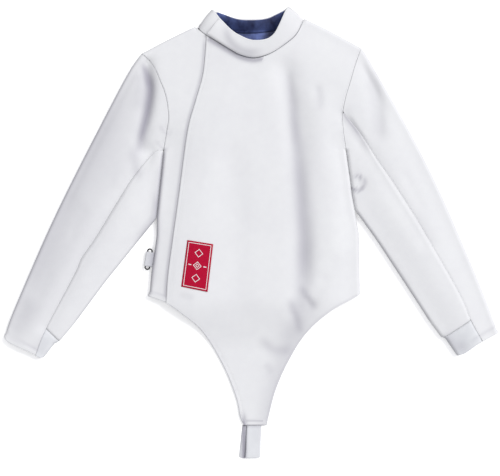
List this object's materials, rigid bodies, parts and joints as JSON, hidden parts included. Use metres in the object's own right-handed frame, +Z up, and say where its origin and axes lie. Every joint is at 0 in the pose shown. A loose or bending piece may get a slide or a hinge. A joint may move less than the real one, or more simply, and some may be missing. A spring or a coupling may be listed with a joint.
{
  "type": "fencing jacket",
  "caption": "White fencing jacket laid flat on its back: long sleeves, stand collar, front overlap closing at the side, and a tail that runs down to an elastic crotch loop.",
  "frame": {"origin": "centre of the bounding box, on the surface that the jacket lies on", "axes": "+Z up off the surface and out of the front, +Y to the collar, +X to the wearer's left sleeve"},
  "size_m": [1.0198, 0.9326, 0.0408],
  "materials": {
    "white_cloth": "matt woven cloth with a faint sheen",
    "white_elastic": "ribbed elastic webbing",
    "blue_lining": "smooth shiny lining",
    "crimson_patch": "woven patch",
    "black_wire": "gloss black"
  },
  "bodies": {
    "root": {"front_main": "white_cloth", "front_side": "white_cloth", "back": "white_cloth", "right_sleeve_upper": "white_cloth", "right_sleeve_under": "white_cloth", "left_sleeve_upper": "white_cloth", "left_sleeve_under": "white_cloth", "collar": "white_cloth", "tail_casing": "white_cloth", "right_cuff_insert": "white_elastic", "left_cuff_insert": "white_elastic", "crotch_strap": "white_elastic", "side_strap": "white_elastic", "collar_lining": "blue_lining", "neck_lining": "blue_lining", "label_patch": "crimson_patch", "side_buckle": "black_wire"}
  },
  "joints": []
}
